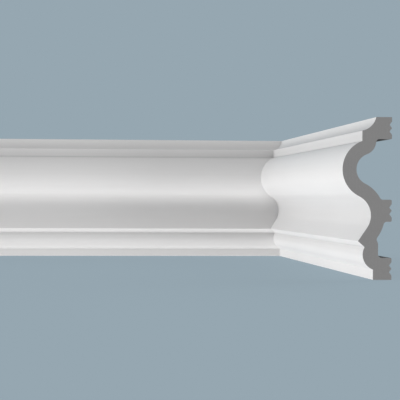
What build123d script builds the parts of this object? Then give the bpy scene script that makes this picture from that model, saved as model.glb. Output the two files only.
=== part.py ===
# Hollow-backed polystyrene wall moulding: one long run and one short return,
# mitred together where they meet in an inside corner.
# Z is up. The backs of both runs lie in the planes Y = 0 and X = 0, and the
# origin is the bottom of the corner where those planes meet.
import os
from math import acos, degrees, sqrt

from build123d import *

# overall sizes
moulding_height = 100.0
moulding_projection = 30.7
wall_thickness = 8.65
long_run_length = 2000.0
return_length = 400.0

# front profile, from the top edge down; a reach is a distance out from the back
top_edge_reach = 9.9
cavetto_depth = 1.83  # at its deepest, in from the straight line between its ends
cavetto_foot_height = 91.6
upper_fillet_reach = 18.5
torus_radius = 18.45
torus_height = 67.85
cove_radius = 13.2
cove_reach = 13.0
arris_reach = 20.95
arris_height = 23.8
quirk_reach = 16.85
ovolo_radius = 9.8
ovolo_reach = 18.0
ovolo_height = 15.5
lower_fillet_reach = 11.6

# back: three lands that bear on the wall, each with two glue grooves
land_height = 13.6
middle_land_height = 42.45
land_edge_radius = 0.8
hollow_corner_radius = 2.0
quirk_relief = 0.2
groove_width = 4.1
groove_depth = 1.5

# centres of the round members
torus_centre = Vector(moulding_projection - torus_radius, torus_height)
ovolo_centre = Vector(ovolo_reach - ovolo_radius, ovolo_height)
# the cove runs smoothly out of the torus, so their two radii span the centres
cove_centre_reach = cove_reach + cove_radius
cove_drop = sqrt((torus_radius + cove_radius) ** 2 - (cove_centre_reach - torus_centre.X) ** 2)
cove_centre = Vector(cove_centre_reach, torus_height - cove_drop)


def on_circle(centre, radius, reach, half):
    """Point where a round member passes a reach, on its upper (1) or lower (-1) half."""
    return Vector(reach, centre.Y + half * sqrt(radius**2 - (reach - centre.X) ** 2))


# corners of the front profile
top_edge = Vector(top_edge_reach, moulding_height)
cavetto_foot = Vector(upper_fillet_reach, cavetto_foot_height)
torus_top = on_circle(torus_centre, torus_radius, upper_fillet_reach, 1)
torus_front = torus_centre + Vector(torus_radius, 0)
torus_foot = torus_centre + (cove_centre - torus_centre).normalized() * torus_radius
cove_back = cove_centre - Vector(cove_radius, 0)
arris = Vector(arris_reach, arris_height)
# the slope under the cove leaves it at a tangent and ends in the arris
to_arris = arris - cove_centre
slope_turn = -degrees(acos(cove_radius / to_arris.length))
cove_foot = cove_centre + to_arris.normalized().rotate(Axis.Z, slope_turn) * cove_radius
quirk = on_circle(ovolo_centre, ovolo_radius, quirk_reach, 1)
ovolo_front = ovolo_centre + Vector(ovolo_radius, 0)
ovolo_foot = on_circle(ovolo_centre, ovolo_radius, lower_fillet_reach, -1)

# the front face with all that lies behind it, carried on past back and edges
margin = 3 * wall_thickness
with BuildSketch() as front:
    with BuildLine():
        SagittaArc(top_edge, cavetto_foot, -cavetto_depth)
        Line(cavetto_foot, torus_top)
        ThreePointArc(torus_top, torus_front, torus_foot)
        ThreePointArc(torus_foot, cove_back, cove_foot)
        Polyline(cove_foot, arris, quirk)
        ThreePointArc(quirk, ovolo_front, ovolo_foot)
        Polyline(
            ovolo_foot,
            (lower_fillet_reach, -margin),
            (-margin, -margin),
            (-margin, moulding_height + margin),
            (top_edge_reach, moulding_height + margin),
            top_edge,
        )
    make_face()

# heights of the middles of the three lands
land_middles = [land_height / 2, middle_land_height, moulding_height - land_height / 2]

# the two hollows: what lies deeper than one wall behind the front, between lands
web_reach = quirk_reach - wall_thickness + quirk_relief
with BuildSketch() as hollows:
    add(front.sketch)
    offset(amount=-wall_thickness, kind=Kind.ARC)
    # from the quirk down the back of the wall is one flat web
    with Locations((web_reach, quirk.Y)):
        Rectangle(2 * margin, 2 * margin, align=(Align.MIN, Align.MAX), mode=Mode.SUBTRACT)
    with Locations((web_reach, arris_height)):
        Rectangle(margin, arris_height, align=(Align.MAX, Align.MAX))
    # the lands stay, the outer two with all that lies beyond them
    with Locations([(0, middle) for middle in land_middles]):
        Rectangle(4 * margin, land_height, mode=Mode.SUBTRACT)
    with Locations((0, -margin), (0, moulding_height + margin)):
        Rectangle(4 * margin, 2 * margin, mode=Mode.SUBTRACT)
    # shrunk and grown again, which rounds the inner corners
    offset(amount=-hollow_corner_radius, kind=Kind.ARC)
    offset(amount=hollow_corner_radius, kind=Kind.ARC)
    with Locations((0, moulding_height / 2)):
        Rectangle(
            2 * margin, 2 * moulding_height, align=(Align.MAX, Align.CENTER), mode=Mode.SUBTRACT
        )

# the section that both runs share, with X the reach and Y the height
with BuildSketch() as section:
    add(front.sketch)
    with Locations((0, 0)):
        Rectangle(4 * margin, moulding_height, align=(Align.MIN, Align.MIN), mode=Mode.INTERSECT)
    add(hollows.sketch, mode=Mode.SUBTRACT)
    land_edges = section.vertices().filter_by(
        lambda v: abs(v.X) < 1e-4 and land_edge_radius < v.Y < moulding_height - land_edge_radius
    )
    fillet(land_edges, land_edge_radius)
    for middle in land_middles:
        for side in (-groove_width / 2, groove_width / 2):
            with BuildLine():
                Polyline(
                    (-groove_depth, middle + side - groove_width),
                    (groove_depth, middle + side),
                    (-groove_depth, middle + side + groove_width),
                    close=True,
                )
            make_face(mode=Mode.SUBTRACT)

# both runs end on the upright plane that halves the corner
mitre = Plane(origin=(0, 0, 0), z_dir=(1, -1, 0))

with BuildPart() as long_run:
    with BuildSketch(Plane(origin=(0, 0, 0), x_dir=(0, -1, 0), z_dir=(-1, 0, 0))):
        add(section.sketch)
    extrude(amount=long_run_length)
    split(bisect_by=mitre, keep=Keep.BOTTOM)

with BuildPart() as corner_return:
    with BuildSketch(Plane(origin=(0, -return_length, 0), x_dir=(-1, 0, 0), z_dir=(0, 1, 0))):
        add(section.sketch)
    extrude(amount=return_length)
    split(bisect_by=mitre, keep=Keep.TOP)

long_run.part.label = "long_run"
corner_return.part.label = "corner_return"

os.makedirs("parts", exist_ok=True)
for piece in (long_run, corner_return):
    export_step(piece.part, f"parts/{piece.part.label}.step")

print("section area, square mm:", round(section.sketch.area, 2))
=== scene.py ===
import math

import bmesh
import bpy
from mathutils import Matrix, Vector
from mathutils.geometry import intersect_line_line_2d


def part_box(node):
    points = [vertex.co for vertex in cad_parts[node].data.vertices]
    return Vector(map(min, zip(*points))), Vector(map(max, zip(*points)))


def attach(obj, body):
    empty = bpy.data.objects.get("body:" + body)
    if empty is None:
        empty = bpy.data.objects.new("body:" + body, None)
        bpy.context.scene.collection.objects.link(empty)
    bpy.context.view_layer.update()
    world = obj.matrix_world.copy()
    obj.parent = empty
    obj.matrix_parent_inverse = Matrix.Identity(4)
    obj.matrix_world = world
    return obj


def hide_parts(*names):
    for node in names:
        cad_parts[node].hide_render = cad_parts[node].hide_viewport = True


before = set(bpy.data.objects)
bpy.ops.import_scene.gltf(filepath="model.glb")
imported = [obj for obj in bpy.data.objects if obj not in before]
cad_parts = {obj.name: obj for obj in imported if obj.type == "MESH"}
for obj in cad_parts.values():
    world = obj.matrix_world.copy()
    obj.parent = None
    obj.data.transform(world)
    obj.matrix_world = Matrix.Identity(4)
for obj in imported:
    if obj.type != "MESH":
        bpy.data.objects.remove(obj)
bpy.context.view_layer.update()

mm = 0.001
print("frame loaded:", sorted(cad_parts))


# The section, in millimetres. Reach is the distance out from the wall of the room.
# Height, projection and lengths come from the frame.
section = {
    "wall": 8.65,            # thickness behind cove, torus and slope
    "topEdgeReach": 9.9,
    "cavettoDepth": 1.83,    # at its deepest, in from the straight line between its ends
    "cavettoFoot": 91.6,     # height
    "upperFilletReach": 18.5,
    "torusRadius": 18.45,
    "torusHeight": 67.85,    # of its centre
    "coveRadius": 13.2,
    "coveReach": 13.0,       # at its deepest
    "arris": (20.95, 23.8),  # reach and height
    "quirkReach": 16.85,
    "ovoloRadius": 9.8,
    "ovoloReach": 18.0,      # at its crest
    "ovoloHeight": 15.5,     # of its centre
    "lowerFilletReach": 11.6,
    "quirkRelief": 0.2,      # the flat web behind the quirk is thinner by this
    "landHeight": 13.6,
    "middleLand": 42.45,     # height of its middle
    "grooveWidth": 4.1,
    "grooveDepth": 1.5,
    # how far each corner is rounded over
    "arrisRound": 0.3,
    "innerRound": 0.2,
    "grooveRound": 0.4,
    "landRound": 0.8,
    "hollowRound": 2.0,
    "webRound": 2.0,
    # how finely it is drawn
    "longestChord": 0.45,    # longest step along a curve
    "fewestSteps": 4,        # along a curve
    "fewestBendSteps": 5,    # along a rounded corner
    "shortestStep": 0.0001,  # points nearer than this are one
}


def point(reach, height):
    return Vector((reach, height))


def leftOf(direction):
    return Vector((-direction.y, direction.x))


def onCircle(centre, radius, reach, half):
    # point of a round member at a reach, upper half (1) or lower half (-1)
    return point(reach, centre.y + half * math.sqrt(radius**2 - (reach - centre.x) ** 2))


def backOfCircle(centre, radius, height):
    # point of a round member at a height, on the side towards the wall
    return point(centre.x - math.sqrt(radius**2 - (height - centre.y) ** 2), height)


def arc(centre, start, end, clockwise=True, fewest=section["fewestSteps"]):
    # points from start to end around a centre
    radius = (start - centre).length
    angleA = math.atan2(start.y - centre.y, start.x - centre.x)
    angleB = math.atan2(end.y - centre.y, end.x - centre.x)
    sweep = (angleA - angleB) % math.tau if clockwise else -((angleB - angleA) % math.tau)
    steps = max(fewest, math.ceil(abs(sweep) * radius / section["longestChord"]))
    angles = [angleA - sweep * i / steps for i in range(steps + 1)]
    return [centre + radius * point(math.cos(a), math.sin(a)) for a in angles]


def shifted(strand, amount):
    # the strand moved sideways, to its left where amount is positive
    moved = []
    for i, here in enumerate(strand):
        before = strand[max(i - 1, 0)]
        after = strand[min(i + 1, len(strand) - 1)]
        moved.append(here + leftOf((after - before).normalized()) * amount)
    return moved


def alongStep(strand, offset, i, meeting):
    # the strand's own point beside a meeting point on step i of its shifted copy
    share = (meeting - offset[i]).length / (offset[i + 1] - offset[i]).length
    return strand[i].lerp(strand[i + 1], share)


def roundCorner(strandA, strandB, radius):
    # trims both strands back to an arc that touches them, and returns all three
    directionA = strandA[-1] - strandA[-2]
    directionB = strandB[1] - strandB[0]
    side = math.copysign(1, directionA.cross(directionB))
    sideA = shifted(strandA, side * radius)
    sideB = shifted(strandB, side * radius)
    fewest = section["fewestBendSteps"]
    for i in range(len(strandA) - 2, -1, -1):
        for j in range(len(strandB) - 1):
            centre = intersect_line_line_2d(sideA[i], sideA[i + 1], sideB[j], sideB[j + 1])
            if centre:
                footA = alongStep(strandA, sideA, i, centre)
                footB = alongStep(strandB, sideB, j, centre)
                bend = arc(centre, footA, footB, clockwise=side < 0, fewest=fewest)
                return strandA[: i + 1] + [footA], bend[1:-1], [footB] + strandB[j + 1:]
    raise ValueError("a corner has no room for its rounding")


def landStrands(middle, highRound):
    # back of one land, from its low side up, with two grooves for glue
    s = section
    half = s["landHeight"] / 2
    slope = s["grooveWidth"] / 2
    corners = (
        (point(0, middle - 2 * slope), s["grooveRound"]),
        (point(s["grooveDepth"], middle - slope), s["grooveRound"]),
        (point(0, middle), s["arrisRound"]),
        (point(s["grooveDepth"], middle + slope), s["grooveRound"]),
        (point(0, middle + 2 * slope), s["grooveRound"]),
        (point(0, middle + half), highRound),
    )
    here = point(0, middle - half)
    strands = []
    for corner, radius in corners:
        strands.append(([here, corner], radius))
        here = corner
    return strands


def mouldingStrands(height, projection):
    # lines and arcs of the section in order, each with the rounding of the corner after it
    s = section
    wall = s["wall"]
    torusCentre = point(projection - s["torusRadius"], s["torusHeight"])
    ovoloCentre = point(s["ovoloReach"] - s["ovoloRadius"], s["ovoloHeight"])
    coveCentre = point(s["coveReach"] + s["coveRadius"], 0)
    span = s["torusRadius"] + s["coveRadius"]
    coveCentre.y = torusCentre.y - math.sqrt(span**2 - (coveCentre.x - torusCentre.x) ** 2)

    topEdge = point(s["topEdgeReach"], height)
    cavettoFoot = point(s["upperFilletReach"], s["cavettoFoot"])
    chord = cavettoFoot - topEdge
    rise = (chord.length_squared / 4 - s["cavettoDepth"] ** 2) / (2 * s["cavettoDepth"])
    cavettoCentre = (topEdge + cavettoFoot) / 2 + leftOf(chord.normalized()) * rise
    torusTop = onCircle(torusCentre, s["torusRadius"], s["upperFilletReach"], 1)
    toCove = (coveCentre - torusCentre).normalized()
    handover = torusCentre + toCove * s["torusRadius"]

    # the slope under the cove leaves it at a tangent
    arris = point(*s["arris"])
    toArris = arris - coveCentre
    turn = math.acos(s["coveRadius"] / toArris.length)
    outward = Matrix.Rotation(-turn, 2) @ toArris.normalized()
    coveFoot = coveCentre + outward * s["coveRadius"]
    quirk = onCircle(ovoloCentre, s["ovoloRadius"], s["quirkReach"], 1)
    ovoloFoot = onCircle(ovoloCentre, s["ovoloRadius"], s["lowerFilletReach"], -1)
    lowerEdge = point(s["lowerFilletReach"], 0)

    front = [
        (arc(cavettoCentre, topEdge, cavettoFoot, clockwise=False), s["arrisRound"]),
        ([cavettoFoot, torusTop], s["innerRound"]),
        (arc(torusCentre, torusTop, handover), 0),
        (arc(coveCentre, handover, coveFoot, clockwise=False), 0),
        ([coveFoot, arris], s["arrisRound"]),
        ([arris, quirk], s["innerRound"]),
        (arc(ovoloCentre, quirk, ovoloFoot), s["innerRound"]),
        ([ovoloFoot, lowerEdge], s["arrisRound"]),
        ([lowerEdge, point(0, 0)], s["arrisRound"]),
    ]

    # lower hollow: flat web behind the quirk, then one wall behind slope and cove
    half = s["landHeight"] / 2
    lands = (half, s["middleLand"], height - half)
    webReach = quirk.x - wall + s["quirkRelief"]
    webFoot = point(webReach, lands[0] + half)
    webTop = point(webReach, quirk.y + math.sqrt(wall**2 - (quirk.x - webReach) ** 2))
    slopeBack = coveFoot + outward * wall
    alongSlope = (arris - coveFoot).normalized()
    toQuirk = quirk - slopeBack
    shortOf = math.sqrt(wall**2 - toQuirk.cross(alongSlope) ** 2)
    slopeEnd = slopeBack + alongSlope * (toQuirk.dot(alongSlope) - shortOf)
    coveBack = s["coveRadius"] + wall
    lowerTop = backOfCircle(coveCentre, coveBack, lands[1] - half)
    lowerHollow = [
        ([point(0, webFoot.y), webFoot], s["hollowRound"]),
        ([webFoot, webTop], s["webRound"]),
        (arc(quirk, webTop, slopeEnd), s["hollowRound"]),
        ([slopeEnd, slopeBack], 0),
        (arc(coveCentre, slopeBack, lowerTop), s["hollowRound"]),
        ([lowerTop, point(0, lowerTop.y)], s["landRound"]),
    ]

    # upper hollow: one wall behind cove, torus and fillet
    upperFoot = backOfCircle(coveCentre, coveBack, lands[1] + half)
    handoverBack = coveCentre - toCove * coveBack
    torusEnd = torusTop + (torusCentre - torusTop).normalized() * wall
    filletBack = point(torusTop.x - wall, torusTop.y)
    upperTop = point(filletBack.x, lands[2] - half)
    upperHollow = [
        ([point(0, upperFoot.y), upperFoot], s["hollowRound"]),
        (arc(coveCentre, upperFoot, handoverBack), 0),
        (arc(torusCentre, handoverBack, torusEnd, clockwise=False), 0),
        (arc(torusTop, torusEnd, filletBack) + [upperTop], s["hollowRound"]),
        ([upperTop, point(0, upperTop.y)], s["landRound"]),
    ]

    strands = front + landStrands(lands[0], s["landRound"]) + lowerHollow
    strands += landStrands(lands[1], s["landRound"]) + upperHollow
    strands += landStrands(lands[2], s["arrisRound"])
    strands += [([point(0, height), topEdge], s["arrisRound"])]
    corners = {
        "cavettoFoot": cavettoFoot,
        "filletFoot": torusTop,
        "quirk": quirk,
        "backBottom": point(0, 0),
        "lowerHollowFoot": webFoot,
        "lowerHollowTop": lowerTop,
        "upperHollowFoot": upperFoot,
        "upperHollowTop": upperTop,
        "backTop": point(0, height),
    }
    return strands, corners


def joinStrands(strands):
    # one closed loop of points, with its corners rounded
    lines = [list(strand) for strand, _ in strands]
    bends = []
    for i, (_, radius) in enumerate(strands):
        following = (i + 1) % len(strands)
        bend = []
        if radius:
            lines[i], bend, lines[following] = roundCorner(lines[i], lines[following], radius)
        bends.append(bend)
    loop = []
    for line, bend in zip(lines, bends):
        loop += line + bend
    return [p for i, p in enumerate(loop) if (p - loop[i - 1]).length > section["shortestStep"]]


longLow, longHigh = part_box("long_run")
returnLow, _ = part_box("corner_return")
strands, corners = mouldingStrands(longHigh.z / mm, -longLow.y / mm)
outline = joinStrands(strands)
count = len(outline)

# distance around the outline up to each point, and at the named corners
around = [0.0]
for i in range(count):
    around.append(around[-1] + (outline[(i + 1) % count] - outline[i]).length)
cornerAround = {}
for name, corner in corners.items():
    nearest = min(range(count), key=lambda i: (outline[i] - corner).length)
    cornerAround[name] = around[nearest]
print("section outline:", count, "points,", round(around[-1], 1), "mm around")


# Both runs are the same stock. Along is the distance from the corner of the room.
runs = {
    "longRun": {
        "node": "long_run",
        "length": -longLow.x / mm,
        "place": lambda along, reach, height: (-along, -reach, height),
    },
    "cornerReturn": {
        "node": "corner_return",
        "length": -returnLow.y / mm,
        "place": lambda along, reach, height: (-reach, -along, height),
    },
    "ringSpacing": 100.0,
    "mitreChamfer": 0.15,    # worn edge of the mitre, seen as a hairline
    "endChamfer": 0.1,
    "sharpAngle": 30,        # degrees, edges that bend more stay crisp
}
coatSlot, backSlot, sawnSlot = range(3)


def ringsAlong(length):
    # each ring is a list of (along, reach, height), from the mitre to the square end
    mitreChamfer, endChamfer = runs["mitreChamfer"], runs["endChamfer"]
    inward = []
    for i in range(count):
        inward.append(-leftOf((outline[(i + 1) % count] - outline[i - 1]).normalized()))
    mitreRing = [p + n * mitreChamfer for p, n in zip(outline, inward)]
    endRing = [p + n * endChamfer for p, n in zip(outline, inward)]
    rings = [[(p.x, p.x, p.y) for p in mitreRing]]
    rings.append([(p.x + mitreChamfer, p.x, p.y) for p in outline])
    steps = max(2, round(length / runs["ringSpacing"]))
    for i in range(1, steps):
        rings.append([(length * i / steps, p.x, p.y) for p in outline])
    rings.append([(length - endChamfer, p.x, p.y) for p in outline])
    rings.append([(length, p.x, p.y) for p in endRing])
    return rings


def slotOf(i):
    # the coat covers the outline from the top of the back over the front to its bottom
    coated = around[i] < cornerAround["backBottom"] or around[i] >= cornerAround["backTop"]
    return coatSlot if coated else backSlot


def buildRun(name, materials):
    place = runs[name]["place"]
    rings = ringsAlong(runs[name]["length"])
    bm = bmesh.new()
    uv = bm.loops.layers.uv.new("runUV")    # metres along the run, metres around the section
    grid = []
    for ring in rings:
        grid.append([bm.verts.new(Vector(place(*p)) * mm) for p in ring])
    last = len(grid) - 1
    for k in range(last):
        for i in range(count):
            j = (i + 1) % count
            face = bm.faces.new((grid[k][i], grid[k][j], grid[k + 1][j], grid[k + 1][i]))
            face.smooth = True
            face.material_index = sawnSlot if k == last - 1 else slotOf(i)
            quad = ((k, i, i), (k, j, i + 1), (k + 1, j, i + 1), (k + 1, i, i))
            for loop, (ring, index, step) in zip(face.loops, quad):
                loop[uv].uv = (rings[ring][index][0] * mm, around[step] * mm)
    for ring in (0, last):
        cap = bm.faces.new(grid[ring])
        cap.material_index = sawnSlot
        for loop, p in zip(cap.loops, rings[ring]):
            loop[uv].uv = (p[1] * mm, p[2] * mm)
    bmesh.ops.recalc_face_normals(bm, faces=bm.faces)
    mesh = bpy.data.meshes.new(name)
    bm.to_mesh(mesh)
    bm.free()
    mesh.set_sharp_from_angle(angle=math.radians(runs["sharpAngle"]))
    for material in materials:
        mesh.materials.append(material)
    piece = bpy.data.objects.new(name, mesh)
    bpy.context.collection.objects.link(piece)
    weighted = piece.modifiers.new("flatFacesStayFlat", "WEIGHTED_NORMAL")
    weighted.keep_sharp = True
    return piece


# Parts of the materials
noiseSpan = (0.25, 0.75)    # nearly all values of a noise
noiseCore = (0.3, 0.7)      # most of them


def newMaterial(name):
    material = bpy.data.materials.new(name)
    material.use_nodes = True
    return material, material.node_tree, material.node_tree.nodes["Principled BSDF"]


def addNode(tree, kind, inputs=None, **settings):
    # one node, with its settings, and its inputs joined or set
    node = tree.nodes.new(kind)
    for key, value in settings.items():
        setattr(node, key, value)
    for key, value in (inputs or {}).items():
        if isinstance(value, bpy.types.NodeSocket):
            tree.links.new(value, node.inputs[key])
        else:
            node.inputs[key].default_value = value
    return node


def noiseValue(tree, vector, scale, detail):
    made = addNode(tree, "ShaderNodeTexNoise", {"Vector": vector, "Scale": scale, "Detail": detail})
    return made.outputs["Fac"]


def dieStreaks(tree, uvSocket, finish):
    # noise pulled out along the run, as the die leaves it
    stretch = (finish["streakAlong"], finish["streakAcross"], 1.0)
    stretched = addNode(tree, "ShaderNodeMapping", {"Vector": uvSocket, "Scale": stretch})
    return noiseValue(tree, stretched.outputs["Vector"], 1.0, finish["streakDetail"])


def remap(tree, value, toLow, toHigh, fromLow, fromHigh, curve="LINEAR"):
    made = addNode(tree, "ShaderNodeMapRange", {
        "Value": value,
        "From Min": fromLow,
        "From Max": fromHigh,
        "To Min": toLow,
        "To Max": toHigh,
    }, interpolation_type=curve)
    return made.outputs["Result"]


def calc(tree, operation, a, b):
    return addNode(tree, "ShaderNodeMath", {0: a, 1: b}, operation=operation).outputs["Value"]


def scaledColour(tree, colour, factor):
    inputs = {0: colour[:3], "Scale": factor}
    return addNode(tree, "ShaderNodeVectorMath", inputs, operation="SCALE").outputs["Vector"]


def mottled(tree, tone, layers):
    # the tone with layers of (value, where it lies, amount), each that much darker to lighter
    for value, span, amount in layers:
        tone = calc(tree, "MULTIPLY", tone, remap(tree, value, 1 - amount, 1 + amount, *span))
    return tone


def bumps(tree, layers):
    # layers of (height from 0 to 1, depth in metres), one over the other
    normal = None
    for height, depth in layers:
        inputs = {"Height": height, "Strength": 1.0, "Distance": depth}
        if normal:
            inputs["Normal"] = normal
        normal = addNode(tree, "ShaderNodeBump", inputs).outputs["Normal"]
    return normal


def runCoordinates(tree):
    uvSocket = addNode(tree, "ShaderNodeUVMap", uv_map="runUV").outputs["UV"]
    objectSocket = addNode(tree, "ShaderNodeTexCoord").outputs["Object"]
    return uvSocket, objectSocket


def paintedSectionShading(tree, uvSocket, paintedShading):
    # painted shade and painted highlight around the section: each band rises to its middle and falls
    # off again
    aroundSocket = addNode(tree, "ShaderNodeSeparateXYZ", {"Vector": uvSocket}).outputs["Y"]
    tone = 1.0
    for corner, shift, before, after, change in paintedShading.values():
        middle = cornerAround[corner] + shift
        start, peak, end = (middle - before) * mm, middle * mm, (middle + after) * mm
        rise = remap(tree, aroundSocket, 0, change, start, peak, "SMOOTHERSTEP")
        fall = remap(tree, aroundSocket, 1, 0, peak, end, "SMOOTHERSTEP")
        tone = calc(tree, "ADD", calc(tree, "MULTIPLY", rise, fall), tone)
    return tone


# White coat on the moulded face. Scales are per metre and depths in metres.
coat = {
    "colour": (0.885, 0.877, 0.874, 1),
    "roughness": (0.46, 0.56),
    "streakAlong": 1.3,
    "streakAcross": 420,
    "streakDetail": 3.0,
    "streakTone": 0.008,
    "streakDepth": 0.000004,
    "cloudScale": 11,
    "cloudDetail": 4.0,
    "cloudTone": 0.012,
    "peelScale": 650,
    "peelDetail": 1.5,
    "peelDepth": 0.000006,
    # painted shade in the hollows and creases and painted highlight on the crests: a corner of the
    # section, how far past it, how far it fades before and after, in millimetres, and the change of
    # tone
    "paintedShading": {
        "cavetto": ("cavettoFoot", -2.4, 14.0, 2.0, -0.105),
        "fillet": ("filletFoot", 0.0, 11.5, 5.5, -0.125),
        "filletShade": ("filletFoot", 0.6, 2.0, 2.0, -0.095),
        "torusCrestHighlight": ("filletFoot", 26.0, 28.0, 9.0, 0.05),
        "cove": ("quirk", -19.0, 19.5, 26.0, -0.09),
        "quirkShade": ("quirk", 0.7, 3.0, 3.0, -0.09),
        "ovoloCrestHighlight": ("quirk", 6.5, 3.2, 2.5, 0.035),
        "ovoloFoot": ("quirk", 11.5, 3.4, 9.5, -0.105),
    },
}


def coatMaterial():
    material, tree, shader = newMaterial("whiteCoat")
    c = coat
    uvSocket, objectSocket = runCoordinates(tree)
    streaks = dieStreaks(tree, uvSocket, c)
    clouds = noiseValue(tree, objectSocket, c["cloudScale"], c["cloudDetail"])
    peel = noiseValue(tree, objectSocket, c["peelScale"], c["peelDetail"])
    # painted shade in the hollows and creases, painted highlight on the crests, then random streaks
    # and clouds
    tone = mottled(tree, paintedSectionShading(tree, uvSocket, c["paintedShading"]), (
        (streaks, noiseSpan, c["streakTone"]),
        (clouds, noiseSpan, c["cloudTone"]),
    ))
    relief = bumps(tree, ((streaks, c["streakDepth"]), (peel, c["peelDepth"])))
    roughness = remap(tree, clouds, *c["roughness"], *noiseCore)
    tree.links.new(scaledColour(tree, c["colour"], tone), shader.inputs["Base Color"])
    tree.links.new(roughness, shader.inputs["Roughness"])
    tree.links.new(relief, shader.inputs["Normal"])
    return material


# Bare grey foam at the back, smooth from the die
bareBack = {
    "colour": (0.28, 0.28, 0.28, 1),
    "roughness": (0.62, 0.74),
    "specular": 0.05,        # open foam hardly shines
    "streakAlong": 2.0,
    "streakAcross": 260,
    "streakDetail": 3.0,
    "streakTone": 0.05,
    "streakDepth": 0.00002,
    "cloudScale": 35,
    "cloudDetail": 4.0,
    "cloudTone": 0.05,
    "pitScale": 900,
    "pitDetail": 1.0,
    "pitDepth": 0.00002,
    # painted shade in the corners of the hollows, given as for the coat
    "paintedShading": {
        "lowerFoot": ("lowerHollowFoot", -3.0, 10.0, 10.0, -0.85),
        "lowerTop": ("lowerHollowTop", 0.0, 9.0, 9.0, -0.55),
        "upperFoot": ("upperHollowFoot", 0.0, 9.0, 9.0, -0.55),
        "upperTop": ("upperHollowTop", 3.0, 10.0, 10.0, -0.85),
    },
}


def backMaterial():
    material, tree, shader = newMaterial("bareBack")
    b = bareBack
    uvSocket, objectSocket = runCoordinates(tree)
    streaks = dieStreaks(tree, uvSocket, b)
    clouds = noiseValue(tree, objectSocket, b["cloudScale"], b["cloudDetail"])
    pits = noiseValue(tree, objectSocket, b["pitScale"], b["pitDetail"])
    # painted shade in the corners of the hollows, then random streaks and clouds
    tone = mottled(tree, paintedSectionShading(tree, uvSocket, b["paintedShading"]), (
        (streaks, noiseSpan, b["streakTone"]),
        (clouds, noiseSpan, b["cloudTone"]),
    ))
    relief = bumps(tree, ((streaks, b["streakDepth"]), (pits, b["pitDepth"])))
    roughness = remap(tree, streaks, *b["roughness"], *noiseCore)
    tree.links.new(scaledColour(tree, b["colour"], tone), shader.inputs["Base Color"])
    tree.links.new(roughness, shader.inputs["Roughness"])
    tree.links.new(relief, shader.inputs["Normal"])
    shader.inputs["Specular IOR Level"].default_value = b["specular"]
    return material


# Sawn foam at the mitre and the ends, with its fine cells open
sawn = {
    "colour": (0.297, 0.294, 0.294, 1),
    "roughness": 0.85,
    "cellScale": 2200,
    "cellSpan": (0.1, 0.7),  # where most distances to a cell's middle lie
    "cellTone": 0.03,
    "cellDepth": 0.00003,
    "sawPitch": 0.0021,
    "sawWander": 0.6,
    "sawDetail": 2.0,
    "sawDetailScale": 0.4,
    "sawTone": 0.008,
    "sawDepth": 0.00001,
    "cloudScale": 60,
    "cloudDetail": 3.0,
    "cloudTone": 0.012,
    "bandPitch": 0.314,      # metres from band to band of a wave texture whose scale is 1
}


def sawnMaterial():
    material, tree, shader = newMaterial("sawnFoam")
    s = sawn
    uvSocket, objectSocket = runCoordinates(tree)
    cells = addNode(tree, "ShaderNodeTexVoronoi", {
        "Vector": objectSocket,
        "Scale": s["cellScale"],
    }).outputs["Distance"]
    marks = addNode(tree, "ShaderNodeTexWave", {
        "Vector": uvSocket,
        "Scale": s["bandPitch"] / s["sawPitch"],
        "Distortion": s["sawWander"],
        "Detail": s["sawDetail"],
        "Detail Scale": s["sawDetailScale"],
    }, bands_direction="X").outputs["Fac"]
    clouds = noiseValue(tree, objectSocket, s["cloudScale"], s["cloudDetail"])
    tone = mottled(tree, 1.0, (
        (cells, s["cellSpan"], s["cellTone"]),
        (marks, (0.0, 1.0), s["sawTone"]),
        (clouds, noiseSpan, s["cloudTone"]),
    ))
    relief = bumps(tree, ((marks, s["sawDepth"]), (cells, s["cellDepth"])))
    tree.links.new(scaledColour(tree, s["colour"], tone), shader.inputs["Base Color"])
    tree.links.new(relief, shader.inputs["Normal"])
    shader.inputs["Roughness"].default_value = s["roughness"]
    return material


materials = (coatMaterial(), backMaterial(), sawnMaterial())    # in the order of their slots
print("materials:", [m.name for m in materials])
for name in ("longRun", "cornerReturn"):
    piece = buildRun(name, materials)
    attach(piece, "root")
    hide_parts(runs[name]["node"])
    print("built", name, len(piece.data.polygons), "faces")


# Camera, from the lines of the photograph
camera = {
    "place": (-0.2053, -1.3111, 0.0492),
    "turnDegrees": -5.453,
    "tiltDegrees": -0.038,
    "rollDegrees": 0.247,
    "focalPixels": 1508.5,
    "framePixels": 400,
    "sensorWidth": 36.0,
    "nearest": 0.01,
    "farthest": 100.0,
}


def buildCamera():
    data = bpy.data.cameras.new("camera")
    data.sensor_width = camera["sensorWidth"]
    data.lens = camera["sensorWidth"] * camera["focalPixels"] / camera["framePixels"]
    data.clip_start, data.clip_end = camera["nearest"], camera["farthest"]
    shooter = bpy.data.objects.new("camera", data)
    turn = Matrix.Rotation(math.radians(camera["turnDegrees"]), 4, "Z")
    tilt = Matrix.Rotation(math.radians(90 + camera["tiltDegrees"]), 4, "X")
    roll = Matrix.Rotation(math.radians(camera["rollDegrees"]), 4, "Z")
    shooter.matrix_world = Matrix.Translation(camera["place"]) @ turn @ tilt @ roll
    bpy.context.collection.objects.link(shooter)
    bpy.context.scene.camera = shooter


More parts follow.
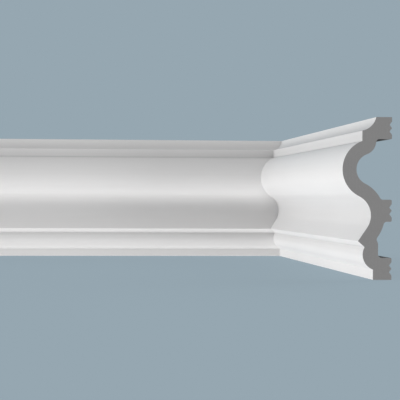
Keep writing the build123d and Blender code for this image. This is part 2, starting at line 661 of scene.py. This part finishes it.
# Studio. Azimuth 0 is the left end, 90 the front, and elevation is above the floor.
# Spread is how wide a lamp looks from the object. All angles are in degrees.
# A strength of 1 shows a white surface that faces the lamp as white.
studio = {
    "backdrop": (0.305, 0.386, 0.44, 1),
    "roomLight": 0.323,
    "lamps": {
        "lowLeft": {"azimuth": 6, "elevation": -12, "spread": 12, "strength": 0.218},
        "highLeft": {"azimuth": 6, "elevation": 12, "spread": 12, "strength": 0.174},
        "behindLeft": {"azimuth": -30, "elevation": 0, "spread": 50, "strength": 0.253},
        "rightKey": {"azimuth": 110, "elevation": 0, "spread": 12, "strength": 0.069},
        "rightFill": {"azimuth": 120, "elevation": 0, "spread": 50, "strength": 0.132},
        "highRight": {"azimuth": 120, "elevation": 45, "spread": 50, "strength": 0.108},
        "lowFront": {"azimuth": 90, "elevation": -60, "spread": 50, "strength": 0.107},
        "below": {"azimuth": 0, "elevation": -90, "spread": 50, "strength": 0.427},
        "behindRight": {"azimuth": -135, "elevation": 20, "spread": 50, "strength": 0.5},
    },
    "lampDistance": 2.0,     # only for the viewport, a sun lights the same from anywhere
    "floorHalf": 8.0,
    "floorLight": 0.65,      # light that reaches the open floor, where 1 is white
    "shadowShare": 0.2,      # share of the floor's tone that a full shadow would take
}


def buildLamps():
    for name, lamp in studio["lamps"].items():
        data = bpy.data.lights.new(name, "SUN")
        data.angle = math.radians(lamp["spread"])
        data.energy = math.pi * lamp["strength"]
        azimuth, elevation = math.radians(lamp["azimuth"]), math.radians(lamp["elevation"])
        level = math.cos(elevation)
        towards = Vector((-math.cos(azimuth) * level, -math.sin(azimuth) * level, math.sin(elevation)))
        holder = bpy.data.objects.new(name, data)
        holder.rotation_mode = "QUATERNION"
        holder.rotation_quaternion = towards.to_track_quat("Z", "Y")
        holder.location = towards * studio["lampDistance"]
        bpy.context.collection.objects.link(holder)


def backdropShare(tree):
    # 1 for the camera and for what is mirrored or seen through
    path = addNode(tree, "ShaderNodeLightPath").outputs
    seen = calc(tree, "MAXIMUM", path["Is Camera Ray"], path["Is Glossy Ray"])
    return calc(tree, "MAXIMUM", seen, path["Is Transmission Ray"])


def buildWorld():
    world = bpy.data.worlds.new("studioRoom")
    bpy.context.scene.world = world
    world.use_nodes = True
    tree = world.node_tree
    room = tree.nodes["Background"]
    room.inputs["Color"].default_value = (1, 1, 1, 1)
    room.inputs["Strength"].default_value = studio["roomLight"]
    backdrop = addNode(tree, "ShaderNodeBackground", {"Color": studio["backdrop"]})
    mixed = addNode(tree, "ShaderNodeMixShader", {
        0: backdropShare(tree),
        1: room.outputs[0],
        2: backdrop.outputs[0],
    })
    tree.links.new(mixed.outputs[0], tree.nodes["World Output"].inputs["Surface"])


def buildFloor():
    half, share = studio["floorHalf"], studio["shadowShare"]
    mesh = bpy.data.meshes.new("studioFloor")
    rim = [(-half, -half, 0), (half, -half, 0), (half, half, 0), (-half, half, 0)]
    mesh.from_pydata(rim, [], [(0, 1, 2, 3)])
    floor = bpy.data.objects.new("studioFloor", mesh)
    bpy.context.collection.objects.link(floor)
    # the lamps and the room also light the object from below
    floor.visible_diffuse = False
    floor.visible_shadow = False
    # an even tone, and a small share of it that takes the shadow
    material, tree, shader = newMaterial("studioFloor")
    tree.nodes.remove(shader)
    lit = [c * share / studio["floorLight"] for c in studio["backdrop"][:3]]
    matt = addNode(tree, "ShaderNodeBsdfDiffuse", {"Color": (*lit, 1)})
    even = addNode(tree, "ShaderNodeEmission", {"Color": studio["backdrop"], "Strength": 1 - share})
    both = addNode(tree, "ShaderNodeAddShader", {0: matt.outputs[0], 1: even.outputs[0]})
    tree.links.new(both.outputs[0], tree.nodes["Material Output"].inputs["Surface"])
    mesh.materials.append(material)


buildCamera()
buildLamps()
buildWorld()
buildFloor()
bpy.context.scene.view_settings.view_transform = "Standard"
print("studio ready")

bpy.context.view_layer.update()
